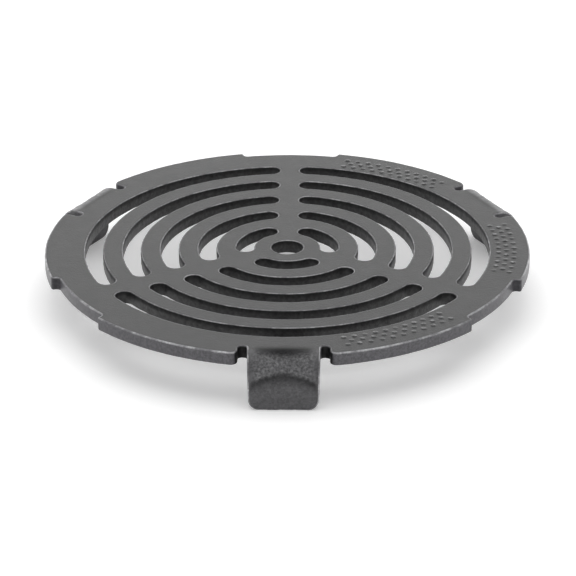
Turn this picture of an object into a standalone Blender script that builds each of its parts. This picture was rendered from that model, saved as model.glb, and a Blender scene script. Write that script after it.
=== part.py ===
"""Round floor drain grate: a slotted iron plate standing on three legs bent down at its rim.

Frame: metres, +Z up.  The origin is on the plate's axis, half way through its thickness.
The front leg points along -Y; the two rear legs follow at 120 degree steps.
"""

import math

import bmesh
import bpy
from mathutils import Matrix

MM = 0.001

# Plate
RIM_RADIUS = 125.0 * MM
THICKNESS = 6.9 * MM
CENTRE_HOLE_RADIUS = 8.35 * MM

# Slots: concentric rings, each cut into three by the spokes
SLOT_WIDTH = 9.5 * MM
INNER_SLOT_RADIUS = 21.7 * MM
OUTER_SLOT_RADIUS = 99.7 * MM
SLOT_RINGS = 5
SPOKE_WIDTH = 10.4 * MM

# Rim relief opposite each leg: a shallow step down to a smaller radius
RELIEF_DEPTH = 4.0 * MM
RELIEF_HALF_ANGLE = math.radians(12.0)
RELIEF_CREST_RADIUS = 1.2 * MM
RELIEF_FOOT_RADIUS = 2.4 * MM

# Bend notches on both sides of each leg
NOTCH_WIDTH = 4.8 * MM
NOTCH_END = 114.3 * MM
NOTCH_MOUTH_RADIUS = 3.0 * MM

# Legs
LEG_WIDTH = 35.6 * MM
LEG_FOOT_WIDTH = 34.6 * MM
LEG_CORNER_RADIUS = 5.7 * MM
LEG_START = 118.5 * MM
BEND_START = 119.3 * MM
BEND_OUTER_RADIUS = 10.0 * MM
STAND_HEIGHT = 27.8 * MM
BEND_STEPS = 8
CORNER_STEPS = 5
LEG_ANGLES = {"leg_front": -90.0, "leg_rear_right": 30.0, "leg_rear_left": 150.0}

# Raised tread studs: three staggered rows on three stretches of the rim
STUD_RADIUS = 1.2 * MM
STUD_HEIGHT = 0.4 * MM
STUD_ROOT = 1.0 * MM
STUD_SIDES = 6
STUD_MIDDLE_ROW_RADIUS = 113.0 * MM
STUD_ROW_SPACING = 4.0 * MM
STUD_ROWS = 3
STUDS_PER_ROW = 11
STUD_STRETCHES = (-60.0, 0.0, 60.0)
STUD_STRETCH_ANGLE = 29.0

JOINT_GAP = 0.3 * MM
CHORD_ERROR = 0.06 * MM
WELD_DISTANCE = 0.01 * MM
SECTOR = math.radians(60.0)
QUARTER = math.pi / 2


def polar(radius, angle, centre=(0.0, 0.0)):
    """Return the point at a radius and angle about a centre."""
    return (centre[0] + radius * math.cos(angle), centre[1] + radius * math.sin(angle))


def arc(radius, start, end, centre=(0.0, 0.0)):
    """Return points along an arc, close enough to keep the chord error small."""
    step = 2 * math.acos(1 - CHORD_ERROR / radius)
    count = max(2, math.ceil(abs(end - start) / step))
    return [polar(radius, start + (end - start) * i / count, centre) for i in range(count + 1)]


def turn(points, angle):
    """Rotate points about the plate's axis."""
    cos, sin = math.cos(angle), math.sin(angle)
    return [(x * cos - y * sin, x * sin + y * cos) for x, y in points]


def half_sector_outline():
    """Outline from a leg's corner round to the middle of the next relief; the leg lies along +X."""
    leg_side = LEG_WIDTH / 2
    notch_radius = NOTCH_WIDTH / 2
    points = [(LEG_START, leg_side)]
    notch_centre = (NOTCH_END + notch_radius, leg_side + notch_radius)
    points += arc(notch_radius, -QUARTER, -3 * QUARTER, notch_centre)

    mouth_y = leg_side + NOTCH_WIDTH + NOTCH_MOUTH_RADIUS
    mouth_x = math.sqrt((RIM_RADIUS - NOTCH_MOUTH_RADIUS) ** 2 - mouth_y ** 2)
    rim_start = math.atan2(mouth_y, mouth_x)
    points += arc(NOTCH_MOUTH_RADIUS, -QUARTER, rim_start, (mouth_x, mouth_y))

    step_angle = SECTOR - RELIEF_HALF_ANGLE
    crest_distance = RIM_RADIUS - RELIEF_CREST_RADIUS
    crest_angle = step_angle - math.asin(RELIEF_CREST_RADIUS / crest_distance)
    crest_centre = polar(crest_distance, crest_angle)
    points += arc(RIM_RADIUS, rim_start, crest_angle)[1:-1]
    points += arc(RELIEF_CREST_RADIUS, crest_angle, step_angle + QUARTER, crest_centre)

    relieved_radius = RIM_RADIUS - RELIEF_DEPTH
    foot_distance = relieved_radius + RELIEF_FOOT_RADIUS
    foot_angle = step_angle + math.asin(RELIEF_FOOT_RADIUS / foot_distance)
    foot_centre = polar(foot_distance, foot_angle)
    points += arc(RELIEF_FOOT_RADIUS, step_angle - QUARTER, foot_angle - math.pi, foot_centre)
    points += arc(relieved_radius, foot_angle, SECTOR)[1:]
    return points


def plate_outline():
    """The whole outer edge: each leg's sector is a half and its mirror image."""
    half = half_sector_outline()
    mirrored = [(x, -y) for x, y in reversed(half)]
    sector = mirrored + half[:-1]
    outline = []
    for degrees in sorted(LEG_ANGLES.values()):
        outline += turn(sector, math.radians(degrees))
    return outline


def slot_outline(radius, middle):
    """A curved slot with round ends, its middle facing a leg."""
    half_width = SLOT_WIDTH / 2
    reach = SECTOR - math.asin((SPOKE_WIDTH / 2 + half_width) / radius)
    first, last = middle - reach, middle + reach
    points = arc(radius + half_width, first, last)[:-1]
    points += arc(half_width, last, last + math.pi, polar(radius, last))[:-1]
    points += arc(radius - half_width, last, first)[:-1]
    points += arc(half_width, first + math.pi, first + 2 * math.pi, polar(radius, first))[:-1]
    return points


def add_outline(curve, points):
    """Add a closed polygon to a 2D curve."""
    spline = curve.splines.new("POLY")
    spline.points.add(len(points) - 1)
    for point, (x, y) in zip(spline.points, points):
        point.co = (x, y, 0.0, 1.0)
    spline.use_cyclic_u = True


def new_collection(name):
    collection = bpy.data.collections.new(name)
    bpy.context.scene.collection.children.link(collection)
    return collection


def iron_material(name, level, roughness):
    """A dark grey iron finish; level is its linear grey."""
    material = bpy.data.materials.new(name)
    material.use_nodes = True
    shader = material.node_tree.nodes["Principled BSDF"]
    shader.inputs["Base Color"].default_value = (level, level, level * 1.03, 1.0)
    shader.inputs["Metallic"].default_value = 0.35
    shader.inputs["Roughness"].default_value = roughness
    return material


def slotted_plate_mesh():
    """The flat plate with its slots and centre hole, before the studs."""
    curve = bpy.data.curves.new("plate_outline", "CURVE")
    curve.dimensions = "2D"
    curve.fill_mode = "BOTH"
    curve.extrude = THICKNESS / 2
    add_outline(curve, plate_outline())
    pitch = (OUTER_SLOT_RADIUS - INNER_SLOT_RADIUS) / (SLOT_RINGS - 1)
    for ring in range(SLOT_RINGS):
        for degrees in LEG_ANGLES.values():
            radius = INNER_SLOT_RADIUS + ring * pitch
            add_outline(curve, slot_outline(radius, math.radians(degrees)))
    add_outline(curve, arc(CENTRE_HOLE_RADIUS, 0.0, 2 * math.pi)[:-1])

    outline = bpy.data.objects.new("plate_outline", curve)
    bpy.context.scene.collection.objects.link(outline)
    evaluated = outline.evaluated_get(bpy.context.evaluated_depsgraph_get())
    mesh = bpy.data.meshes.new_from_object(evaluated)
    bpy.data.objects.remove(outline)

    bm = bmesh.new()
    bm.from_mesh(mesh)
    bmesh.ops.remove_doubles(bm, verts=bm.verts, dist=WELD_DISTANCE)
    bmesh.ops.recalc_face_normals(bm, faces=bm.faces)
    bm.to_mesh(mesh)
    bm.free()
    mesh.name = "grate_plate"
    return mesh


def stud_places():
    """The middle of every stud: rows are staggered, so the middle row has one stud fewer."""
    spacing = STUD_STRETCH_ANGLE / (STUDS_PER_ROW - 1)
    places = []
    for stretch in STUD_STRETCHES:
        for row in range(STUD_ROWS):
            shift = row % 2
            radius = STUD_MIDDLE_ROW_RADIUS + (row - 1) * STUD_ROW_SPACING
            for index in range(STUDS_PER_ROW - shift):
                degrees = stretch - STUD_STRETCH_ANGLE / 2 + (index + shift / 2) * spacing
                places.append(polar(radius, math.radians(degrees)))
    return places


def stud_mesh():
    """All the tread studs, as short posts that are rooted in the plate."""
    bm = bmesh.new()
    height = STUD_HEIGHT + STUD_ROOT
    z = THICKNESS / 2 + STUD_HEIGHT - height / 2
    for x, y in stud_places():
        bmesh.ops.create_cone(
            bm,
            cap_ends=True,
            segments=STUD_SIDES,
            radius1=STUD_RADIUS,
            radius2=STUD_RADIUS,
            depth=height,
            matrix=Matrix.Translation((x, y, z)),
        )
    mesh = bpy.data.meshes.new("tread_studs")
    bm.to_mesh(mesh)
    bm.free()
    return mesh


def leg_rows():
    """The leg's middle surface from the bend line to the foot, as (x, z, half width) rows."""
    middle_radius = BEND_OUTER_RADIUS - THICKNESS / 2
    bend_z = THICKNESS / 2 - BEND_OUTER_RADIUS
    foot_z = THICKNESS / 2 - STAND_HEIGHT
    outer_x = BEND_START + middle_radius
    path = [(LEG_START + JOINT_GAP, 0.0)]
    for step in range(BEND_STEPS + 1):
        angle = QUARTER * (1 - step / BEND_STEPS)
        path.append(polar(middle_radius, angle, (BEND_START, bend_z)))
    for step in range(CORNER_STEPS + 1):
        rise = LEG_CORNER_RADIUS * (1 - math.sin(QUARTER * step / CORNER_STEPS))
        path.append((outer_x, foot_z + rise))

    rows = []
    for x, z in path:
        taper = z / foot_z
        half_width = (LEG_WIDTH + (LEG_FOOT_WIDTH - LEG_WIDTH) * taper) / 2
        into_corner = max(0.0, foot_z + LEG_CORNER_RADIUS - z)
        half_width -= LEG_CORNER_RADIUS - math.sqrt(LEG_CORNER_RADIUS ** 2 - into_corner ** 2)
        rows.append((x, z, half_width))
    return rows


def leg_mesh():
    """A bent strip; the Solidify modifier gives it the plate's thickness."""
    bm = bmesh.new()
    edges = []
    for x, z, half_width in leg_rows():
        left = bm.verts.new((x, -half_width, z))
        right = bm.verts.new((x, half_width, z))
        edges.append((left, right))
    for (a, b), (c, d) in zip(edges, edges[1:]):
        bm.faces.new((a, c, d, b))
    mesh = bpy.data.meshes.new("bent_leg")
    bm.to_mesh(mesh)
    bm.free()
    return mesh


def smooth_round_faces(mesh):
    mesh.shade_smooth()
    mesh.set_sharp_from_angle(angle=math.radians(30.0))


def build():
    for old in list(bpy.data.objects):
        bpy.data.objects.remove(old, do_unlink=True)
    grate = new_collection("floor_drain_grate")
    guides = new_collection("guides")

    axis = bpy.data.objects.new("grate_axis", None)
    grate.objects.link(axis)

    studs = bpy.data.objects.new("tread_studs", stud_mesh())
    studs.hide_render = True
    studs.display_type = "WIRE"
    guides.objects.link(studs)

    plate = bpy.data.objects.new("grate_plate", slotted_plate_mesh())
    plate.data.materials.append(iron_material("plate_iron", 0.155, 0.5))
    smooth_round_faces(plate.data)
    plate.parent = axis
    grate.objects.link(plate)
    union = plate.modifiers.new("tread_studs", "BOOLEAN")
    union.operation = "UNION"
    union.solver = "EXACT"
    union.object = studs

    for name, degrees in LEG_ANGLES.items():
        mesh = leg_mesh()
        smooth_round_faces(mesh)
        leg = bpy.data.objects.new(name, mesh)
        leg.data.materials.append(iron_material(name + "_iron", 0.14, 0.55))
        leg.parent = axis
        leg.rotation_euler = (0.0, 0.0, math.radians(degrees))
        grate.objects.link(leg)
        solid = leg.modifiers.new("thickness", "SOLIDIFY")
        solid.thickness = THICKNESS
        solid.offset = 0.0
        solid.use_even_offset = True
        solid.use_quality_normals = True


build()
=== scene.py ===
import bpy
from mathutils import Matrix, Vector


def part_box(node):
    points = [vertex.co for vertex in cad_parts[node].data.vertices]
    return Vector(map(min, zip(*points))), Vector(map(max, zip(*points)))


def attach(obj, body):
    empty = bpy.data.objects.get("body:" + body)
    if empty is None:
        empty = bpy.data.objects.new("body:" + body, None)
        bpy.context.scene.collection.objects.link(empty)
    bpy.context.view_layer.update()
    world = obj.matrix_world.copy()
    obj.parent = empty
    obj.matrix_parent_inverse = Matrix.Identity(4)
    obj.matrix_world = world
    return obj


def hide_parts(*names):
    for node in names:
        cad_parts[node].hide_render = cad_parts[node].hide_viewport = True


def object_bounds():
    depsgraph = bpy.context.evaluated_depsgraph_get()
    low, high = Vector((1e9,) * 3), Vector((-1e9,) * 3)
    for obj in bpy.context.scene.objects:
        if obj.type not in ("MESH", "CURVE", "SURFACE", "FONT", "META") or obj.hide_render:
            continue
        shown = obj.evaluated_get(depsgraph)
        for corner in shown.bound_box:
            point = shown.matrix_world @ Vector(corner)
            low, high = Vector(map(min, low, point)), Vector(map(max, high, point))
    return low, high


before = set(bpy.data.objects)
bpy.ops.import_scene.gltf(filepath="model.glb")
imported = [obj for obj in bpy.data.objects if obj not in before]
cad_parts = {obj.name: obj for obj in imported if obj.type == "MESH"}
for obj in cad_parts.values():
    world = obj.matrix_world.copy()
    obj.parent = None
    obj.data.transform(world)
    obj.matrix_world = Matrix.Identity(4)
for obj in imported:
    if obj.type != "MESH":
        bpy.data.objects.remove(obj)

"""Looks of the round floor drain grate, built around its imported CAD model.

The grate is modelled the way its metal runs: one flat slotted sheet whose three legs are bent down.
One 120 degree sector is meshed flat and bent, and three turned copies of it are welded together and
given the cast skin.  The whole is then parted at the bends into the plate and the legs, which
replace the CAD nodes of the same shape.
"""

import math

import bmesh
import bpy
import numpy as np
from mathutils import Matrix, Vector, geometry, noise

MM = 0.001
cad_low, cad_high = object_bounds()
plate_low, plate_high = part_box("grate_plate")
front_leg_low, front_leg_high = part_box("leg_front")

# Sizes that the frame gives
RIM_RADIUS = plate_high.x
UNDERSIDE = plate_low.z
FLOOR_LEVEL = cad_low.z
STUD_TOP = plate_high.z
LEG_OUTER_FACE = -front_leg_low.y
LEG_WIDTH = front_leg_high.x - front_leg_low.x

# Plate: the same shape as the CAD model's
THICKNESS = -2 * UNDERSIDE
HALF_THICKNESS = THICKNESS / 2
HUB_HOLE_RADIUS = 8.35 * MM
SLOT_WIDTH = 9.5 * MM
SLOT_RADII = [(21.7 + 19.5 * ring) * MM for ring in range(5)]
SPOKE_WIDTH = 10.4 * MM
RELIEF_DEPTH = 4.0 * MM
RELIEF_HALF_ANGLE = math.radians(12.0)
RELIEF_CREST_RADIUS = 1.2 * MM
RELIEF_FOOT_RADIUS = 2.4 * MM
NOTCH_WIDTH = 4.8 * MM
NOTCH_END = 114.3 * MM
NOTCH_MOUTH_RADIUS = 3.0 * MM

# Legs
BEND_OUTER_RADIUS = 10.0 * MM
BEND_START = LEG_OUTER_FACE - BEND_OUTER_RADIUS
BEND_MIDDLE_RADIUS = BEND_OUTER_RADIUS - HALF_THICKNESS
BEND_LENGTH = BEND_MIDDLE_RADIUS * math.pi / 2
BEND_CENTRE_Z = HALF_THICKNESS - BEND_OUTER_RADIUS
LEG_END = BEND_START + BEND_LENGTH + (BEND_CENTRE_Z - FLOOR_LEVEL)
LEG_FOOT_WIDTH = 34.6 * MM
LEG_CORNER_RADIUS = 5.7 * MM
TAPER_DELAY = 1.0 * MM
LEG_ANGLES = {"leg_front": -90.0, "leg_rear_right": 30.0, "leg_rear_left": 150.0}
PARTS = ("grate_plate", *LEG_ANGLES)

# Edge rounding
RIM_EDGE_RADIUS = 0.8 * MM
SLOT_EDGE_RADIUS = 0.5 * MM
RIM_LOWER_RADIUS = 0.8 * MM
SLOT_LOWER_RADIUS = 0.3 * MM
FACE_MARGIN = 0.15 * MM
EDGE_STEPS = 5
WALL_STEPS = 5

# Tread studs, on the same stretches of rim as the CAD model's
STUD_HEIGHT = STUD_TOP - HALF_THICKNESS
STUD_FOOT_RADIUS = 1.6 * MM
STUD_CROWN_RADIUS = 0.7 * MM
STUD_LEAST_HEIGHT = 0.4
STUD_HEIGHT_PHASE = 7.3
STUD_MIDDLE_ROW_RADIUS = 113.0 * MM
STUD_ROW_SPACING = 4.0 * MM
STUD_ROWS = 3
STUDS_PER_ROW = 11
STUD_STRETCH_OFFSET = 30.0
STUD_STRETCH_ANGLE = 29.0
STUD_STRETCHES = (-60.0, 0.0, 60.0)

# Mesh spacing
EDGE_SPACING = 1.1 * MM
FACE_SPACING = 2.2 * MM
LEG_SPACING = 0.7 * MM
CORNER_SPACING = 0.6 * MM
CREST_SPACING = 0.4 * MM
RELIEF_FOOT_SPACING = 0.5 * MM
HOLE_SPACING = 0.9 * MM
STUD_SPACING = 0.62 * MM
STUD_RINGS = [radius * MM for radius in (0.5, 0.85, 1.15, 1.5, 1.95)]
STUD_CLEARANCE = 0.3 * MM
LEG_CLEARANCE = 0.6 * LEG_SPACING
DECK_CLEARANCE = 0.62 * FACE_SPACING
DECK_INNER_CLEARANCE = 0.5 * FACE_SPACING
FINE_MESH_START = BEND_START - 6 * MM
DECK_START = -70 * MM
LEG_REACH = LEG_WIDTH / 2 + 0.5 * MM
SLACK = 0.01 * MM
WELD_DISTANCE = 0.001 * MM
LINE_TOLERANCE = 1e-7
MERGE_TOLERANCE = 1e-9
KEEP_INSIDE = 1
POINTS_AT_ONCE = 4000

# Cast skin: how long its waves are, and how deep they cut in millimetres
COARSE_WAVE = 2.4 * MM
FINE_WAVE = 1.0 * MM
LONG_WAVE = 7.0 * MM
WAVE_OCTAVES = 2
WAVE_FALLOFF = 1.0
WAVE_LACUNARITY = 2.0
FINE_OFFSET = 5.0
LONG_OFFSET = 11.0
COARSE_BIAS = 0.6
FINE_BIAS = 0.5
WALL_CUT = 0.11
WALL_FINE_CUT = 0.05
OUTER_WALL_SHARE = 0.5
SLOT_WALL_SHARE = 0.9
EDGE_LONG_CUT = 0.06
EDGE_COARSE_CUT = 0.03
UNDERSIDE_CUT = 0.04
PEEL_CUT = 0.30
PEEL_FINE_CUT = 0.12
CREASE_CUT = 0.30
ARCH_CUT = 0.14
DEEPEST_CUT = 0.7
REAR_CREASE_SHARE = 0.3
SIDE_CREASE_SHARE = 0.4

# Cast skin: where its zones fade, each from one place to the next
PEEL_FADE_IN = (0.0, 2.0 * MM)
PEEL_FADE_OUT = (0.8 * MM, -1.2 * MM)
PEEL_SIDES = (1.5 * MM, 5.5 * MM)
CREASE_SIDES = (1.0 * MM, 7.0 * MM)
ARCH_SIDES = (0.3 * MM, 3.0 * MM)
BELOW_ARCH = (-0.5 * MM, 1.5 * MM)
GROUND_END = (-1 * MM, 1 * MM)
BROW_HEIGHTS = (1.3 * MM, 0.0)
BROW_PATCHES = (-0.25, 0.35)
WALL_TILTS = (0.0, 0.7)
FACE_TILT = 0.999
BROW_TILT = 0.5

# Cast skin: where its zones lie
LEG_ZONE_START = -8 * MM
NOTCH_SIDE_MARGIN = 0.3 * MM
NOTCH_OUTER_MARGIN = 1 * MM
NOTCH_INNER_MARGIN = 2 * MM
NOTCH_CUT_END = 3 * MM
ARCH_MIDDLE = 9.6 * MM
ARCH_DROP = 5.6 * MM
ARCH_WAVER = 0.4 * MM
ARCH_REACH_ABOVE = 1.0 * MM
ARCH_REACH_BELOW = 3.4 * MM
CREASE_MIDDLE = 0.8 * MM
CREASE_REACH = 3.0 * MM
CREASE_HALF_LENGTH = 12.0 * MM
BRIM_DEPTH = 1.0 * MM
BRIM_REACH = 0.8 * MM
STEP_OFFSET = 0.6 * MM
STEP_REACH = 1.6 * MM

# Cast skin: wear of the paint on its edges with a painted highlight band under the rim's edge, and
# painted shade in its crease, arch, notches, steps, slot brims and lower legs
EDGE_WEAR = 1.4
BROW_HIGHLIGHT = 0.12
NOTCH_EXPOSURE = 0.2
SLOT_EXPOSURE = 0.6
STEP_SHELTER = 0.6
CREASE_PAINTED_SHADE = 1.02
ARCH_PAINTED_SHADE = 0.7
NOTCH_PAINTED_SHADE = 0.6
STEP_PAINTED_SHADE = 0.6
BRIM_PAINTED_SHADE = 0.8
LEG_PAINTED_SHADE = 0.05
COLUMNS = ("along", "across", "height", "tilt", "in_slot", "slot_edge")
ZONES = ("ground", "edge", "painted_shade", "stud", "peel", "in_slot")

# Iron: how long the noise in its skin is, and how deep it looks
GRAIN = 0.8 * MM
PITS = 2.0 * MM
SPECK = 1.3 * MM
MOTTLE = 6.0 * MM
BROAD = 40 * MM
BUMP_DEPTH = 0.1 * MM
GRAIN_RELIEF = 1.2
SLOT_PIT_RELIEF = 1.5
PEEL_RELIEF = 2.2

# Iron: colours and shares
RIM_COLOUR = (0.088, 0.086, 0.094, 1.0)
# Painted shade: the legs take a slightly darker copy of the rim's iron colour
LEG_SHADED_COLOUR = (0.08, 0.079, 0.083, 1.0)
GROUND_COLOUR = (0.011, 0.011, 0.0114, 1.0)
# Painted shade: the walls of the slots and the hole take a much darker copy of the cast iron's
# colour
SLOT_SHADED_COLOUR = (0.014, 0.014, 0.0145, 1.0)
PEEL_COLOUR = (0.145, 0.145, 0.149, 1.0)
WORN_AND_HIGHLIGHT_COLOUR = (0.42, 0.42, 0.43, 1.0)
WORN_AND_HIGHLIGHT_METALLIC = 0.8
CROWN_WEAR = 0.45
PAINT_SPECULAR = 0.36
# Painted shade: how much rougher and darker in colour and specular the painted-shade zones are made
PAINTED_SHADE_ROUGHNESS = 0.35
SLOT_ROUGHNESS = 0.04
PAINTED_SHADE_DARKENING = 0.8

# Iron: the levels of a noise or zone between which it acts, and what they are spread over
FLAKE_LEVELS = (0.36, 0.68)
PATCHY_WEAR = (0.4, 0.6, 0.3, 1.0)
CROWN_HEIGHTS = (0.5, 1.0)
CROWN_PITS = (0.4, 0.62)
GRAIN_SHADE = (0.2, 0.8, 0.8, 1.2)
BROAD_SHADE = (0.3, 0.7, -0.04, 0.04)
CAST_SHADE = (0.35, 0.65, 0.78, 1.22)
PAINT_ROUGHNESS = (0.3, 0.7, 0.33, 0.38)
SLOT_SPECULAR = (0.3, 0.7, 0.4, 0.85)

# Studio
CAMERA_ELEVATION = math.radians(24.79)
CAMERA_AZIMUTH = math.radians(0.9)
CAMERA_ROLL = math.radians(-0.15)
CAMERA_DISTANCE = 1.7606
LENS = 213.0
AIM_DROP = 21.15 * MM
AIM_RIGHT = 0.36 * MM
SENSOR_WIDTH = 36.0
VIEW_DEPTH = 20.0
FLOOR_SIZE = 8.0
FLOOR_ALBEDO = 0.95
FLOOR_GLOW = 0.25
FLOOR_ROUGHNESS = 0.9
SOFTBOX_PLACE = (0.0, 0.28, 1.6)
SOFTBOX_WIDTH = 2.3
SOFTBOX_DEPTH = 2.2
SOFTBOX_POWER = 19.5

# World: from where to where along an axis its light changes, and from how much to how much
DOME_ALONG_Y = (-1.0, -0.9, 0.1, 0.8)
DOME_ALONG_Z = (0.4, 0.8, 1.0, 0.6)
DOME_ALONG_X_SQUARED = (0.3, 1.0, 1.0, 0.3)
GLOW_ALONG_Y = (0.72, 1.0, 0.0, 1.8)
GLOW_ALONG_Z = (0.2, 0.55, 1.0, 0.0)

SECTOR = math.radians(60.0)
QUARTER = math.pi / 2


# ---------------------------------------------------------------- outlines

def polar(radius, angle, centre=(0.0, 0.0)):
    """The point at a radius and angle about a centre."""
    return (centre[0] + radius * math.cos(angle), centre[1] + radius * math.sin(angle))


def arc(radius, start, end, centre=(0.0, 0.0), spacing=EDGE_SPACING):
    """Evenly spaced points along an arc, both ends included."""
    count = max(4, math.ceil(radius * abs(end - start) / spacing))
    return [polar(radius, start + (end - start) * i / count, centre) for i in range(count + 1)]


def line(first, last, spacing=EDGE_SPACING):
    """Evenly spaced points along a straight run, without its ends."""
    count = max(1, math.ceil(math.dist(first, last) / spacing))
    return [
        tuple(a + (b - a) * i / count for a, b in zip(first, last)) for i in range(1, count)
    ]


def half_sector_outline():
    """Outer edge of the unbent sheet from the middle of a leg's foot to the middle of a relief."""
    foot_half = LEG_FOOT_WIDTH / 2
    side = LEG_WIDTH / 2
    notch_radius = NOTCH_WIDTH / 2
    corner = LEG_CORNER_RADIUS

    points = [(LEG_END, 0.0)]
    points += line((LEG_END, 0.0), (LEG_END, foot_half - corner))
    points += arc(corner, 0.0, QUARTER, (LEG_END - corner, foot_half - corner), CORNER_SPACING)
    taper_start = (BEND_START + TAPER_DELAY, side)
    points += line((LEG_END - corner, foot_half), taper_start)
    points += [taper_start, (BEND_START, side)]
    notch_start = (NOTCH_END + notch_radius, side)
    points += line((BEND_START, side), notch_start)
    notch_centre = (NOTCH_END + notch_radius, side + notch_radius)
    points += arc(notch_radius, -QUARTER, -3 * QUARTER, notch_centre, CORNER_SPACING)

    mouth_y = side + NOTCH_WIDTH + NOTCH_MOUTH_RADIUS
    mouth_x = math.sqrt((RIM_RADIUS - NOTCH_MOUTH_RADIUS) ** 2 - mouth_y ** 2)
    rim_start = math.atan2(mouth_y, mouth_x)
    far_side = side + NOTCH_WIDTH
    points += line((NOTCH_END + notch_radius, far_side), (mouth_x, far_side))
    points += arc(NOTCH_MOUTH_RADIUS, -QUARTER, rim_start, (mouth_x, mouth_y), CORNER_SPACING)

    step_angle = SECTOR - RELIEF_HALF_ANGLE
    crest_distance = RIM_RADIUS - RELIEF_CREST_RADIUS
    crest_angle = step_angle - math.asin(RELIEF_CREST_RADIUS / crest_distance)
    crest_centre = polar(crest_distance, crest_angle)
    points += arc(RIM_RADIUS, rim_start, crest_angle)[1:-1]
    crest_end = step_angle + QUARTER
    points += arc(RELIEF_CREST_RADIUS, crest_angle, crest_end, crest_centre, CREST_SPACING)

    relieved_radius = RIM_RADIUS - RELIEF_DEPTH
    foot_distance = relieved_radius + RELIEF_FOOT_RADIUS
    foot_angle = step_angle + math.asin(RELIEF_FOOT_RADIUS / foot_distance)
    foot_centre = polar(foot_distance, foot_angle)
    foot_start, foot_end = step_angle - QUARTER, foot_angle - math.pi
    points += arc(RELIEF_FOOT_RADIUS, foot_start, foot_end, foot_centre, RELIEF_FOOT_SPACING)
    points += arc(relieved_radius, foot_angle, SECTOR)[1:]
    return points


def slot_outline(radius):
    """A curved slot with round ends, its middle facing the leg."""
    half_width = SLOT_WIDTH / 2
    reach = SECTOR - math.asin((SPOKE_WIDTH / 2 + half_width) / radius)
    points = arc(radius + half_width, -reach, reach)[:-1]
    last_end, first_end = polar(radius, reach), polar(radius, -reach)
    points += arc(half_width, reach, reach + math.pi, last_end, HOLE_SPACING)[:-1]
    points += arc(radius - half_width, reach, -reach)[:-1]
    points += arc(half_width, math.pi - reach, 2 * math.pi - reach, first_end, HOLE_SPACING)[:-1]
    return points


class Edge:
    """One edge of the sheet, seen from above, with its normals pointing into the metal."""

    def __init__(self, points, closed, rounding, lower_rounding, end_normals=None):
        self.points = np.array(points)
        self.closed = closed
        self.rounding = rounding
        self.lower_rounding = lower_rounding
        after = np.roll(self.points, -1, axis=0)
        before = np.roll(self.points, 1, axis=0)
        ahead = after - self.points
        behind = self.points - before
        ahead /= np.linalg.norm(ahead, axis=1)[:, None]
        behind /= np.linalg.norm(behind, axis=1)[:, None]
        along = ahead + behind
        along /= np.linalg.norm(along, axis=1)[:, None]
        self.normals = np.stack([-along[:, 1], along[:, 0]], axis=1)
        if end_normals is not None:
            self.normals[0], self.normals[-1] = end_normals

    def ring(self, inset):
        """The edge's points, moved into the metal."""
        return self.points + self.normals * inset

    def section(self):
        """Rings from the lower face, up the wall, to the upper face, as (inset, height, tilt).

        Tilt is -1 on the lower face, 0 on the wall and 1 on the upper face.
        """
        top, bottom = self.rounding, self.lower_rounding
        rings = [(self.rounding + FACE_MARGIN, -HALF_THICKNESS, -1.0)]
        for step in range(EDGE_STEPS + 1):
            turn = QUARTER * step / EDGE_STEPS
            inset = bottom * (1 - math.sin(turn))
            height = -HALF_THICKNESS + bottom * (1 - math.cos(turn))
            rings.append((inset, height, step / EDGE_STEPS - 1))
        rise = THICKNESS - top - bottom
        for step in range(1, WALL_STEPS):
            rings.append((0.0, -HALF_THICKNESS + bottom + rise * step / WALL_STEPS, 0.0))
        for step in range(EDGE_STEPS + 1):
            turn = QUARTER * step / EDGE_STEPS
            inset = top * (1 - math.cos(turn))
            height = HALF_THICKNESS - top * (1 - math.sin(turn))
            rings.append((inset, height, step / EDGE_STEPS))
        rings.append((self.rounding + FACE_MARGIN, HALF_THICKNESS, 1.0))
        return rings


def sector_edges():
    """All edges of the sector whose leg lies along +X; the metal is on the left of each."""
    half = half_sector_outline()
    mirrored = [(x, -y) for x, y in reversed(half)]
    outer = mirrored[:-1] + half
    ends = [np.array(polar(-1.0, -SECTOR)), np.array(polar(-1.0, SECTOR))]
    edges = [Edge(outer, False, RIM_EDGE_RADIUS, RIM_LOWER_RADIUS, ends)]
    hub = arc(HUB_HOLE_RADIUS, SECTOR, -SECTOR, spacing=HOLE_SPACING)
    hub_ends = [np.array(polar(1.0, SECTOR)), np.array(polar(1.0, -SECTOR))]
    edges.append(Edge(hub, False, SLOT_EDGE_RADIUS, SLOT_LOWER_RADIUS, hub_ends))
    for radius in SLOT_RADII:
        edges.append(Edge(slot_outline(radius)[::-1], True, SLOT_EDGE_RADIUS, SLOT_LOWER_RADIUS))
    return edges


# ---------------------------------------------------------------- flat sector mesh

def stud_places():
    """Middles of the studs of one stretch on each side of the leg, in the sector's own frame."""
    spacing = STUD_STRETCH_ANGLE / (STUDS_PER_ROW - 1)
    places = []
    for stretch in (-STUD_STRETCH_OFFSET, STUD_STRETCH_OFFSET):
        for row in range(STUD_ROWS):
            shift = row % 2
            radius = STUD_MIDDLE_ROW_RADIUS + (row - 1) * STUD_ROW_SPACING
            for index in range(STUDS_PER_ROW - shift):
                degrees = stretch - STUD_STRETCH_ANGLE / 2 + (index + shift / 2) * spacing
                places.append(polar(radius, math.radians(degrees)))
    return np.array(places)


def hexagonal_grid(low, high, spacing):
    """Points of a triangular lattice inside a rectangle."""
    rows = np.arange(low[1], high[1], spacing * math.sqrt(0.75))
    points = []
    for number, y in enumerate(rows):
        x = np.arange(low[0] + spacing * (number % 2) / 2, high[0], spacing)
        points.append(np.stack([x, np.full_like(x, y)], axis=1))
    return np.concatenate(points)


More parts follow.
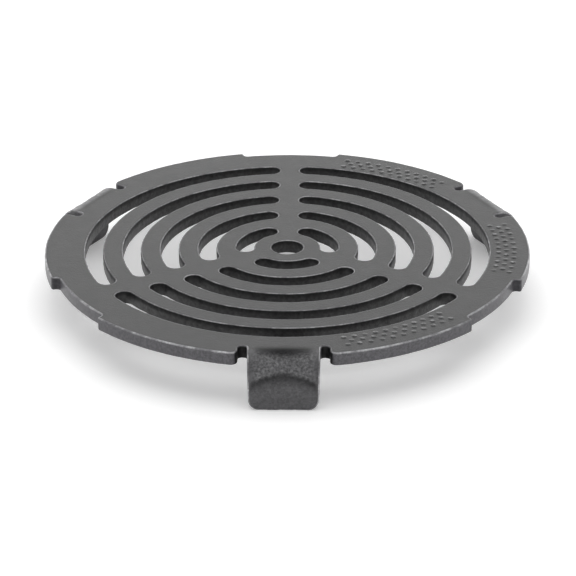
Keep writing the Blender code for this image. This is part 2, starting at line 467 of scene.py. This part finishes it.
def inside(points, loops):
    """Which points lie inside an odd number of the loops, by the crossings to the right of each."""
    odd = np.zeros(len(points), bool)
    for loop in loops:
        x1, y1 = loop[:, 0], loop[:, 1]
        x2, y2 = np.roll(x1, -1), np.roll(y1, -1)
        rise = np.where(y2 == y1, 1.0, y2 - y1)
        for start in range(0, len(points), POINTS_AT_ONCE):
            some = slice(start, start + POINTS_AT_ONCE)
            px = points[some, 0:1]
            py = points[some, 1:2]
            spans = (y1 > py) != (y2 > py)
            crossing = x1 + (py - y1) * (x2 - x1) / rise
            odd[some] ^= (spans & (px < crossing)).sum(axis=1) % 2 == 1
    return odd


def clear_of(points, others, distance):
    """The points that are at least a distance from all the others."""
    cells = {}
    for x, y in others:
        cell = (math.floor(x / distance), math.floor(y / distance))
        cells.setdefault(cell, []).append((x, y))
    kept = []
    for x, y in points:
        cx, cy = math.floor(x / distance), math.floor(y / distance)
        near = (
            other
            for i in (cx - 1, cx, cx + 1)
            for j in (cy - 1, cy, cy + 1)
            for other in cells.get((i, j), ())
        )
        if all((x - ox) ** 2 + (y - oy) ** 2 >= distance ** 2 for ox, oy in near):
            kept.append((x, y))
    return np.array(kept).reshape(-1, 2)


def face_points(loops, border):
    """Points inside the sector's faces: fine on the legs and studs, coarser elsewhere."""
    reach = LEG_WIDTH / 2 - RIM_EDGE_RADIUS - FACE_MARGIN
    bend = line((BEND_START, -reach), (BEND_START, reach))
    low = (FINE_MESH_START, -LEG_WIDTH / 2)
    leg = hexagonal_grid(low, (LEG_END, LEG_WIDTH / 2), LEG_SPACING)
    leg = clear_of(leg[inside(leg, loops)], np.concatenate([border, bend]), LEG_CLEARANCE)

    studs = []
    for x, y in stud_places():
        studs.append((x, y))
        for radius in STUD_RINGS:
            studs += arc(radius, 0.0, 2 * math.pi, (x, y), STUD_SPACING)[:-1]
    studs = clear_of(np.array(studs), border, STUD_CLEARANCE)

    deck = hexagonal_grid((DECK_START, -RIM_RADIUS), (RIM_RADIUS, RIM_RADIUS), FACE_SPACING)
    beside = np.abs(deck[:, 1]) > LEG_WIDTH / 2 + 0.5 * NOTCH_WIDTH
    deck = deck[(deck[:, 0] < FINE_MESH_START) | beside]
    deck = deck[np.abs(np.arctan2(deck[:, 1], deck[:, 0])) < SECTOR]
    deck = clear_of(deck[inside(deck, loops)], border, DECK_CLEARANCE)
    deck = clear_of(deck, np.concatenate([studs, leg]), DECK_INNER_CLEARANCE)
    return bend, np.concatenate([leg, studs, deck])


def sector_face(edges):
    """The sector's flat face: each point's place in the border, the points, and the triangles.

    The last value is the number of points along each straight side, which the edges don't hold.
    """
    rings = [edge.ring(edge.rounding + FACE_MARGIN) for edge in edges]
    outer, hub = rings[0], rings[1]
    first_side = np.array(line(tuple(outer[-1]), tuple(hub[0]), FACE_SPACING))
    last_side = np.stack([first_side[::-1, 0], -first_side[::-1, 1]], axis=1)
    whole = np.concatenate([outer, first_side, hub, last_side])
    loops = [whole] + rings[2:]
    border = np.concatenate(loops)
    bend, free = face_points(loops, border)

    points = np.concatenate([border, bend, free])
    constraints = []
    start = 0
    for loop in loops:
        count = len(loop)
        constraints += [(start + i, start + (i + 1) % count) for i in range(count)]
        start += count
    at_bend = np.flatnonzero(np.abs(outer[:, 0] - BEND_START) < LINE_TOLERANCE)
    chain = [at_bend[0], *range(start, start + len(bend)), at_bend[-1]]
    constraints += [(int(a), int(b)) for a, b in zip(chain, chain[1:])]

    vectors = [Vector(p) for p in points]
    made = geometry.delaunay_2d_cdt(vectors, constraints, [], KEEP_INSIDE, MERGE_TOLERANCE)
    coords = np.array([tuple(p) for p in made[0]])
    triangles = np.array(made[2])
    triangles = triangles[~inside(coords[triangles].mean(axis=1), loops[1:])]
    origin = np.full(len(coords), -1)
    for index, sources in enumerate(made[3]):
        if sources:
            origin[index] = sources[0]
    return origin, coords, triangles, len(first_side)


def build_sector():
    """The flat sector's vertices, as rows of COLUMNS with x and y first, and its faces.

    In slot is 1 on the walls of the slots and the hole, and slot edge on their rounded edges too.
    """
    edges = sector_edges()
    origin, coords, triangles, join = sector_face(edges)
    vertices = []
    faces = []
    lower_rim = {}
    upper_rim = {}
    border_start = 0
    for number, edge in enumerate(edges):
        section = edge.section()
        size = len(edge.points)
        base = len(vertices)
        slot_edge = float(number > 0)
        for inset, height, tilt in section:
            in_slot = (1 - abs(tilt)) * slot_edge
            vertices += [(x, y, height, tilt, in_slot, slot_edge) for x, y in edge.ring(inset)]
        steps = size if edge.closed else size - 1
        for level in range(len(section) - 1):
            for i in range(steps):
                j = (i + 1) % size
                a, b = base + level * size + i, base + level * size + j
                faces.append((b, a, a + size, b + size))
        for i in range(size):
            lower_rim[border_start + i] = base + i
            upper_rim[border_start + i] = base + (len(section) - 1) * size + i
        border_start += size + (join if number < 2 else 0)

    for rim, side in ((upper_rim, 1.0), (lower_rim, -1.0)):
        index_of = {}
        for index in np.unique(triangles):
            source = origin[index]
            if source in rim:
                index_of[index] = rim[source]
            else:
                index_of[index] = len(vertices)
                vertices.append((*coords[index], side * HALF_THICKNESS, side, 0.0, 0.0))
        for a, b, c in triangles:
            corners = (index_of[a], index_of[b], index_of[c])
            faces.append(corners[::-1] if side < 0 else corners)
    return np.array(vertices), faces


# ---------------------------------------------------------------- bending and the cast skin

def bend_sector(flat):
    """Bends the part of the sheet beyond the bend line down into a leg."""
    beyond = flat[:, 0] - BEND_START
    height = flat[:, 2]
    on_leg = (beyond > 0) & (np.abs(flat[:, 1]) < LEG_REACH)
    turn = np.clip(beyond / BEND_MIDDLE_RADIUS, 0.0, QUARTER)
    straight = np.clip(beyond - BEND_LENGTH, 0.0, None)
    bent = flat[:, :3].copy()
    x = BEND_START + (BEND_MIDDLE_RADIUS + height) * np.sin(turn)
    z = BEND_CENTRE_Z + (BEND_MIDDLE_RADIUS + height) * np.cos(turn) - straight
    bent[on_leg, 0] = x[on_leg]
    bent[on_leg, 2] = z[on_leg]
    return bent


def smooth_step(low, high, value):
    """Rises smoothly from 0 at low to 1 at high; low may be the larger, and then it falls."""
    t = np.clip((value - low) / (high - low), 0.0, 1.0)
    return t * t * (3 - 2 * t)


def noise_at(points, wavelength, offset=0.0):
    """Smooth noise of about -1 to 1 at each point."""
    shift = Vector((offset, 2.3 * offset, -1.7 * offset))
    settings = (WAVE_FALLOFF, WAVE_LACUNARITY, WAVE_OCTAVES)
    basis = "PERLIN_ORIGINAL"
    return np.array([
        noise.fractal(Vector(p) / wavelength + shift, *settings, noise_basis=basis) for p in points
    ])


def stud_relief(flat, degrees):
    """Height of the tread studs, from 0 to 1, on the sector whose leg points that way."""
    relief = np.zeros(len(flat))
    top = flat[:, 2] > HALF_THICKNESS - SLACK
    for number, (x, y) in enumerate(stud_places()):
        stretch = degrees + math.copysign(STUD_STRETCH_OFFSET, y)
        if not any(abs(stretch - studded) < 1 for studded in STUD_STRETCHES):
            continue
        distance = np.hypot(flat[:, 0] - x, flat[:, 1] - y)
        near = top & (distance < STUD_FOOT_RADIUS)
        dome = 1 - smooth_step(STUD_CROWN_RADIUS, STUD_FOOT_RADIUS, distance[near])
        variation = abs(math.sin(STUD_HEIGHT_PHASE * number))
        height_left = STUD_LEAST_HEIGHT + (1 - STUD_LEAST_HEIGHT) * variation
        relief[near] = np.maximum(relief[near], height_left * dome)
    return relief


def set_values(mesh, name, values):
    attribute = mesh.attributes.get(name) or mesh.attributes.new(name, "FLOAT", "POINT")
    attribute.data.foreach_set("value", np.asarray(values, np.float32))


def get_values(mesh, name):
    values = np.zeros(len(mesh.vertices), np.float32)
    mesh.attributes[name].data.foreach_get("value", values)
    return values.astype(float)


def get_vectors(collection, name):
    values = np.zeros(len(collection) * 3, np.float32)
    collection.foreach_get(name, values)
    return values.reshape(-1, 3).astype(float)


def build_sheet():
    """The whole grate in one welded mesh; each face has the number in PARTS that it belongs to."""
    flat, faces = build_sector()
    bent = bend_sector(flat)
    beyond = np.array([min(flat[i][0] for i in face) > BEND_START - SLACK for face in faces])
    between = np.array([max(abs(flat[i][1]) for i in face) < LEG_REACH for face in faces])
    is_leg = beyond & between

    vertices, all_faces, owners, studs = [], [], [], []
    for number, (name, degrees) in enumerate(LEG_ANGLES.items()):
        cos, sin = math.cos(math.radians(degrees)), math.sin(math.radians(degrees))
        turned = bent.copy()
        turned[:, 0] = bent[:, 0] * cos - bent[:, 1] * sin
        turned[:, 1] = bent[:, 0] * sin + bent[:, 1] * cos
        vertices.append(turned)
        first = number * len(flat)
        all_faces += [[first + i for i in face] for face in faces]
        owners += [PARTS.index(name) if leg else 0 for leg in is_leg]
        studs.append(stud_relief(flat, degrees))

    mesh = bpy.data.meshes.new("sheet")
    mesh.from_pydata(np.concatenate(vertices).tolist(), [], all_faces)
    for column, name in enumerate(COLUMNS):
        set_values(mesh, name, np.tile(flat[:, column], len(LEG_ANGLES)))
    set_values(mesh, "stud", np.concatenate(studs))
    set_values(mesh, "front", np.repeat([name == "leg_front" for name in LEG_ANGLES], len(flat)))
    mesh.attributes.new("part", "INT", "FACE").data.foreach_set("value", owners)
    bm = bmesh.new()
    bm.from_mesh(mesh)
    bmesh.ops.remove_doubles(bm, verts=bm.verts, dist=WELD_DISTANCE)
    bm.to_mesh(mesh)
    bm.free()
    return mesh


def arch_line(across):
    """Where the coarse skin of the bend ends: lower on the leg's sides than in its middle."""
    return BEND_START + ARCH_MIDDLE + ARCH_DROP * (across / (LEG_WIDTH / 2)) ** 2


def bell(distance, reach):
    """1 at no distance, and 0.37 at the reach."""
    return np.exp(-((distance / reach) ** 2))


def give_cast_skin(mesh):
    """Moves the surface into the unevenness of the casting and marks its zones for the material."""
    points = get_vectors(mesh.vertices, "co")
    normals = get_vectors(mesh.vertices, "normal")
    along = get_values(mesh, "along") - BEND_START
    across = get_values(mesh, "across")
    across_size = np.abs(across)
    height = get_values(mesh, "height")
    tilt = get_values(mesh, "tilt")
    in_slot = get_values(mesh, "in_slot")
    slot_edge = get_values(mesh, "slot_edge")
    stud = get_values(mesh, "stud")
    front = get_values(mesh, "front")

    half_width = LEG_WIDTH / 2
    from_side = half_width - across_size
    on_leg = (along > LEG_ZONE_START) & (across_size < LEG_REACH)
    upper = tilt > FACE_TILT
    lower = tilt < -FACE_TILT
    wall = 1 - smooth_step(*WALL_TILTS, np.abs(tilt))
    edge = 4 * np.abs(tilt) * (1 - np.abs(tilt))
    coarse = noise_at(points, COARSE_WAVE)
    fine = noise_at(points, FINE_WAVE, FINE_OFFSET)
    long = noise_at(points, LONG_WAVE, LONG_OFFSET)

    # The bend: coarse peeled skin down to an arched line, and a pressed crease across its top
    past_arch = along + BEND_START - arch_line(across) + ARCH_WAVER * long
    peel = smooth_step(*PEEL_FADE_IN, along) * smooth_step(*PEEL_FADE_OUT, past_arch)
    peel *= smooth_step(*PEEL_SIDES, from_side) * upper * on_leg
    crease = bell(along - CREASE_MIDDLE, CREASE_REACH)
    crease *= smooth_step(*CREASE_SIDES, from_side)
    crease *= upper * on_leg
    crease *= SIDE_CREASE_SHARE + (1 - SIDE_CREASE_SHARE) * bell(across, CREASE_HALF_LENGTH)
    crease *= REAR_CREASE_SHARE + (1 - REAR_CREASE_SHARE) * front
    above, under = bell(past_arch, ARCH_REACH_ABOVE), bell(past_arch, ARCH_REACH_BELOW)
    arch = np.where(past_arch < 0, above, under) * upper * on_leg
    arch *= smooth_step(*ARCH_SIDES, from_side)
    below_arch = smooth_step(*BELOW_ARCH, past_arch) * on_leg

    rough_wall = WALL_CUT * (COARSE_BIAS + coarse) + WALL_FINE_CUT * (FINE_BIAS + fine)
    depth = wall * (OUTER_WALL_SHARE + SLOT_WALL_SHARE * in_slot) * rough_wall
    rough_edge = EDGE_LONG_CUT * (COARSE_BIAS + long) + EDGE_COARSE_CUT * (COARSE_BIAS + coarse)
    depth += edge * rough_edge
    depth += lower * UNDERSIDE_CUT * (COARSE_BIAS + coarse)
    depth += peel * (PEEL_CUT * (COARSE_BIAS + coarse) + PEEL_FINE_CUT * (COARSE_BIAS + fine))
    depth += CREASE_CUT * crease + ARCH_CUT * arch
    depth = np.clip(depth, 0.0, DEEPEST_CUT) * MM
    moved = points - normals * depth[:, None]
    moved[:, 2] += stud * STUD_HEIGHT
    moved = np.clip(moved, np.array(cad_low), np.array(cad_high))
    mesh.vertices.foreach_set("co", moved.astype(np.float32).ravel())
    mesh.update()

    # The notches beside the front leg look as rough as the slots, and take their darker
    # painted-shade colour
    past_side = across_size > half_width + NOTCH_SIDE_MARGIN
    before_rim = across_size < half_width + NOTCH_WIDTH + NOTCH_OUTER_MARGIN
    in_notch = past_side & before_rim & (along > NOTCH_END - NOTCH_INNER_MARGIN - BEND_START)
    cut = in_notch & (along < NOTCH_CUT_END)
    set_values(mesh, "in_slot", np.where(cut & (front > 0), 1 - np.abs(tilt), in_slot))

    # Distance along the rim from the step at each end of a relief
    radius = np.hypot(along + BEND_START, across)
    turn = np.arctan2(across_size, along + BEND_START)
    from_step = radius * (turn - SECTOR + RELIEF_HALF_ANGLE)
    step = bell(from_step - STEP_OFFSET, STEP_REACH)
    step *= radius > RIM_RADIUS - RELIEF_DEPTH - RIM_EDGE_RADIUS

    # Painted highlight: a lighter, metallic band in patches on the rim's wall just under its upper
    # edge
    below_brow = HALF_THICKNESS - RIM_EDGE_RADIUS - height
    brow = smooth_step(*BROW_HEIGHTS, below_brow) * smooth_step(*BROW_PATCHES, long)
    brow *= (tilt >= 0) & (tilt < BROW_TILT)
    exposure = np.where(in_notch, NOTCH_EXPOSURE, np.where(slot_edge > 0, SLOT_EXPOSURE, 1.0))
    exposure *= 1 - STEP_SHELTER * step
    wear_and_highlight = EDGE_WEAR * edge * (tilt > 0) + BROW_HIGHLIGHT * brow * (1 - in_slot)
    # Painted shade: a dark band just under the slots' upper edges, and darkening of the crease,
    # arch, front notches, relief steps and lower legs
    brim = in_slot * bell(HALF_THICKNESS - height - BRIM_DEPTH, BRIM_REACH)
    painted_shade = CREASE_PAINTED_SHADE * crease + ARCH_PAINTED_SHADE * arch
    painted_shade += NOTCH_PAINTED_SHADE * cut * wall * front + STEP_PAINTED_SHADE * step * wall
    painted_shade += BRIM_PAINTED_SHADE * brim + LEG_PAINTED_SHADE * below_arch
    set_values(mesh, "ground", upper * (1 - on_leg * smooth_step(*GROUND_END, along)))
    set_values(mesh, "edge", np.clip(wear_and_highlight * exposure, 0, 1))
    set_values(mesh, "painted_shade", np.clip(painted_shade, 0, 1))
    set_values(mesh, "peel", peel)


def face_weighted_normals(mesh):
    """Vertex normals in which large faces count for more, so that flat faces shade flat."""
    points = get_vectors(mesh.vertices, "co")
    normals = np.zeros_like(points)
    for polygon in mesh.polygons:
        corners = list(polygon.vertices)
        weighted = np.array(polygon.normal) * polygon.area
        normals[corners] += weighted
    return normals / np.linalg.norm(normals, axis=1)[:, None]


def part_mesh(name, number, mesh, normals):
    """Closed mesh of one part, shaded as if it were never parted from the rest."""
    owners = mesh.attributes["part"].data
    polygons = [p for p, owner in zip(mesh.polygons, owners) if owner.value == number]
    used = sorted({i for polygon in polygons for i in polygon.vertices})
    place = {old: new for new, old in enumerate(used)}
    part = bpy.data.meshes.new(name + "_surface")
    corners = [tuple(mesh.vertices[i].co) for i in used]
    part.from_pydata(corners, [], [[place[i] for i in polygon.vertices] for polygon in polygons])
    for attribute in ZONES:
        set_values(part, attribute, get_values(mesh, attribute)[used])
    bm = bmesh.new()
    bm.from_mesh(part)
    open_edges = [e for e in bm.edges if e.is_boundary]
    bmesh.ops.holes_fill(bm, edges=open_edges, sides=0)
    bm.to_mesh(part)
    bm.free()
    part.shade_smooth()
    part.normals_split_custom_set_from_vertices(normals[used])
    return part


# ---------------------------------------------------------------- iron

def new_node(tree, kind, **settings):
    """A new node with its own settings made."""
    node = tree.nodes.new(kind)
    for name, value in settings.items():
        setattr(node, name, value)
    return node


class Nodes:
    """Short hand for wiring a shader tree."""

    def __init__(self, tree):
        self.tree = tree
        self.point = new_node(tree, "ShaderNodeTexCoord").outputs["Object"]

    def link(self, value, socket):
        """Joins a socket to another, or sets it to a constant."""
        if isinstance(value, bpy.types.NodeSocket):
            self.tree.links.new(value, socket)
        else:
            socket.default_value = value

    def noise(self, wavelength, detail, roughness):
        node = new_node(self.tree, "ShaderNodeTexNoise", noise_dimensions="3D")
        self.tree.links.new(self.point, node.inputs["Vector"])
        node.inputs["Scale"].default_value = 1.0 / wavelength
        node.inputs["Detail"].default_value = detail
        node.inputs["Roughness"].default_value = roughness
        return node.outputs["Fac"]

    def value(self, name):
        return new_node(self.tree, "ShaderNodeAttribute", attribute_name=name).outputs["Fac"]

    def math(self, operation, *values):
        node = new_node(self.tree, "ShaderNodeMath", operation=operation)
        for value, socket in zip(values, node.inputs):
            self.link(value, socket)
        return node.outputs["Value"]

    def span(self, value, low, high, new_low=0.0, new_high=1.0):
        """Spreads a value from one range over another, clamped to its ends."""
        node = new_node(self.tree, "ShaderNodeMapRange", clamp=True)
        for number, given in enumerate((value, low, high, new_low, new_high)):
            self.link(given, node.inputs[number])
        return node.outputs["Result"]

    def mix(self, factor, a, b):
        """Mixes two colours, whose sockets come after the node's ones for floats and vectors."""
        node = new_node(self.tree, "ShaderNodeMix", data_type="RGBA", clamp_factor=True)
        self.link(factor, node.inputs[0])
        self.link(a, node.inputs[6])
        self.link(b, node.inputs[7])
        return node.outputs[2]


def iron(name, cast_colour):
    """Dark painted iron: ground on the tread face, cast in the slots, peeled over the bends, with
    painted shade in the slots, creases and corners and a painted highlight under the rim's edge.
    """
    material = bpy.data.materials.new(name)
    material.use_nodes = True
    tree = material.node_tree
    shader = tree.nodes["Principled BSDF"]
    nodes = Nodes(tree)

    def product(*values):
        return nodes.math("MULTIPLY", *values)

    def total(*values):
        return nodes.math("ADD", *values)

    ground, edge = nodes.value("ground"), nodes.value("edge")
    painted_shade, stud, peel = nodes.value("painted_shade"), nodes.value("stud"), nodes.value("peel")
    in_slot = nodes.value("in_slot")
    grain = nodes.noise(GRAIN, detail=2.0, roughness=0.6)
    pits = nodes.noise(PITS, detail=3.0, roughness=0.6)
    speck = nodes.noise(SPECK, detail=2.0, roughness=0.6)
    mottle = nodes.noise(MOTTLE, detail=3.0, roughness=0.55)
    broad = nodes.noise(BROAD, detail=1.0, roughness=0.55)

    # Painted shade: the slot walls are darkened in colour
    skin = nodes.mix(in_slot, cast_colour, SLOT_SHADED_COLOUR)
    flakes = nodes.mix(nodes.span(speck, *FLAKE_LEVELS), cast_colour, PEEL_COLOUR)
    skin = nodes.mix(peel, skin, flakes)
    base = nodes.mix(ground, skin, GROUND_COLOUR)
    worn_and_highlight = product(edge, nodes.span(mottle, *PATCHY_WEAR))
    crown = product(nodes.span(stud, *CROWN_HEIGHTS), nodes.span(pits, *CROWN_PITS))
    worn_and_highlight = nodes.math("MAXIMUM", worn_and_highlight, product(crown, CROWN_WEAR))
    # The worn colour covers real wear of edges and stud crowns, and the painted highlight band
    # under the rim's edge
    base = nodes.mix(worn_and_highlight, base, WORN_AND_HIGHLIGHT_COLOUR)
    # Painted shade: colour and specular are darkened where the painted-shade zone lies
    unshaded = nodes.math("SUBTRACT", 1.0, product(painted_shade, PAINTED_SHADE_DARKENING))
    shade = total(nodes.span(grain, *GRAIN_SHADE), nodes.span(broad, *BROAD_SHADE))
    cast_shade = nodes.span(speck, *CAST_SHADE)
    shade = product(shade, nodes.span(ground, 0.0, 1.0, cast_shade, 1.0))
    shade = product(shade, unshaded)
    tint = new_node(tree, "ShaderNodeVectorMath", operation="SCALE")
    tree.links.new(base, tint.inputs[0])
    tree.links.new(shade, tint.inputs["Scale"])
    tree.links.new(tint.outputs[0], shader.inputs["Base Color"])

    rough = nodes.span(mottle, *PAINT_ROUGHNESS)
    rough = total(rough, product(painted_shade, PAINTED_SHADE_ROUGHNESS))
    rough = total(rough, product(in_slot, SLOT_ROUGHNESS))
    tree.links.new(rough, shader.inputs["Roughness"])
    tree.links.new(product(worn_and_highlight, WORN_AND_HIGHLIGHT_METALLIC), shader.inputs["Metallic"])
    slot_gloss = nodes.span(pits, *SLOT_SPECULAR)
    gloss = product(unshaded, nodes.span(in_slot, 0.0, 1.0, PAINT_SPECULAR, slot_gloss))
    tree.links.new(gloss, shader.inputs["Specular IOR Level"])

    relief = total(product(grain, GRAIN_RELIEF), product(product(pits, SLOT_PIT_RELIEF), in_slot))
    relief = total(relief, product(product(speck, PEEL_RELIEF), peel))
    bump = new_node(tree, "ShaderNodeBump")
    bump.inputs["Strength"].default_value = 1.0
    bump.inputs["Distance"].default_value = BUMP_DEPTH
    tree.links.new(relief, bump.inputs["Height"])
    tree.links.new(bump.outputs["Normal"], shader.inputs["Normal"])
    return material


# ---------------------------------------------------------------- stage

def aim(obj, position, target, up):
    """Places a camera or a light and turns its -Z towards the target."""
    back = (Vector(position) - Vector(target)).normalized()
    right = up.cross(back).normalized()
    columns = (right, back.cross(right), back, Vector(position))
    rows = [[column[i] for column in columns] for i in range(3)]
    obj.matrix_world = Matrix(rows + [[0, 0, 0, 1]])


def make_camera():
    """The photo's view: a long lens a little above the grate, looking at the front leg."""
    data = bpy.data.cameras.new("camera")
    data.lens = LENS
    data.sensor_width = SENSOR_WIDTH
    data.clip_end = VIEW_DEPTH
    camera = bpy.data.objects.new("camera", data)
    bpy.context.scene.collection.objects.link(camera)
    cos, sin = math.cos(CAMERA_ELEVATION), math.sin(CAMERA_ELEVATION)
    back = Vector((math.sin(CAMERA_AZIMUTH) * cos, -math.cos(CAMERA_AZIMUTH) * cos, sin))
    level = Vector((math.cos(CAMERA_AZIMUTH), math.sin(CAMERA_AZIMUTH), 0.0))
    rise = back.cross(level)
    right = math.cos(CAMERA_ROLL) * level + math.sin(CAMERA_ROLL) * rise
    up = math.cos(CAMERA_ROLL) * rise - math.sin(CAMERA_ROLL) * level
    tread_centre = Vector((0.0, 0.0, HALF_THICKNESS))
    target = tread_centre - up * AIM_DROP + right * AIM_RIGHT
    aim(camera, tread_centre + back * CAMERA_DISTANCE, target, up)
    bpy.context.scene.camera = camera


def make_softbox():
    """The key light: a large soft panel above and a little behind the grate."""
    data = bpy.data.lights.new("softbox", "AREA")
    data.shape = "RECTANGLE"
    data.size = SOFTBOX_WIDTH
    data.size_y = SOFTBOX_DEPTH
    data.energy = SOFTBOX_POWER
    light = bpy.data.objects.new("softbox", data)
    bpy.context.scene.collection.objects.link(light)
    aim(light, SOFTBOX_PLACE, (0.0, 0.0, 0.0), Vector((0.0, 1.0, 0.0)))


def make_floor():
    """White ground, lit by the scene and by a little glow of its own."""
    mesh = bpy.data.meshes.new("floor")
    half = FLOOR_SIZE / 2
    corners = [(-half, -half, 0), (half, -half, 0), (half, half, 0), (-half, half, 0)]
    mesh.from_pydata(corners, [], [range(4)])
    floor = bpy.data.objects.new("floor", mesh)
    floor.location.z = FLOOR_LEVEL
    bpy.context.scene.collection.objects.link(floor)
    material = bpy.data.materials.new("floor")
    material.use_nodes = True
    shader = material.node_tree.nodes["Principled BSDF"]
    shader.inputs["Base Color"].default_value = (FLOOR_ALBEDO, FLOOR_ALBEDO, FLOOR_ALBEDO, 1.0)
    shader.inputs["Roughness"].default_value = FLOOR_ROUGHNESS
    shader.inputs["Specular IOR Level"].default_value = 0.0
    shader.inputs["Emission Color"].default_value = (1.0, 1.0, 1.0, 1.0)
    shader.inputs["Emission Strength"].default_value = FLOOR_GLOW
    mesh.materials.append(material)


def make_world():
    """An even dome, darker in front, at the sides and at the zenith, with a bright back horizon."""
    world = bpy.data.worlds.new("studio")
    bpy.context.scene.world = world
    world.use_nodes = True
    tree = world.node_tree
    direction = new_node(tree, "ShaderNodeTexCoord").outputs["Generated"]
    parts = new_node(tree, "ShaderNodeSeparateXYZ")
    tree.links.new(direction, parts.inputs[0])

    def ramp(source, *settings):
        node = new_node(tree, "ShaderNodeMapRange", interpolation_type="SMOOTHSTEP")
        for number, value in enumerate(settings):
            node.inputs[number + 1].default_value = value
        tree.links.new(source, node.inputs[0])
        return node.outputs[0]

    def combine(operation, first, second):
        node = new_node(tree, "ShaderNodeMath", operation=operation)
        tree.links.new(first, node.inputs[0])
        tree.links.new(second, node.inputs[1])
        return node.outputs[0]

    x, y, z = parts.outputs
    dome = combine("MULTIPLY", ramp(y, *DOME_ALONG_Y), ramp(z, *DOME_ALONG_Z))
    sides = ramp(combine("MULTIPLY", x, x), *DOME_ALONG_X_SQUARED)
    dome = combine("MULTIPLY", dome, sides)
    glow = combine("MULTIPLY", ramp(y, *GLOW_ALONG_Y), ramp(z, *GLOW_ALONG_Z))
    background = tree.nodes["Background"]
    background.inputs["Color"].default_value = (1.0, 1.0, 1.0, 1.0)
    tree.links.new(combine("ADD", dome, glow), background.inputs["Strength"])


# ---------------------------------------------------------------- the scene

sheet = build_sheet()
give_cast_skin(sheet)
sheet_normals = face_weighted_normals(sheet)
# Painted shade: the leg material is the rim's iron a little darker
irons = {"plate_iron": iron("plate_iron", RIM_COLOUR), "leg_iron": iron("leg_iron", LEG_SHADED_COLOUR)}
for number, node in enumerate(PARTS):
    slot_name = "leg_iron" if number else "plate_iron"
    surface = part_mesh(node, number, sheet, sheet_normals)
    surface.materials.append(irons[slot_name])
    piece = bpy.data.objects.new(node + "_surface", surface)
    bpy.context.scene.collection.objects.link(piece)
    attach(piece, "root")
    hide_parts(node)
bpy.data.meshes.remove(sheet)

make_floor()
make_world()
make_softbox()
make_camera()
bpy.context.scene.view_settings.view_transform = "Standard"
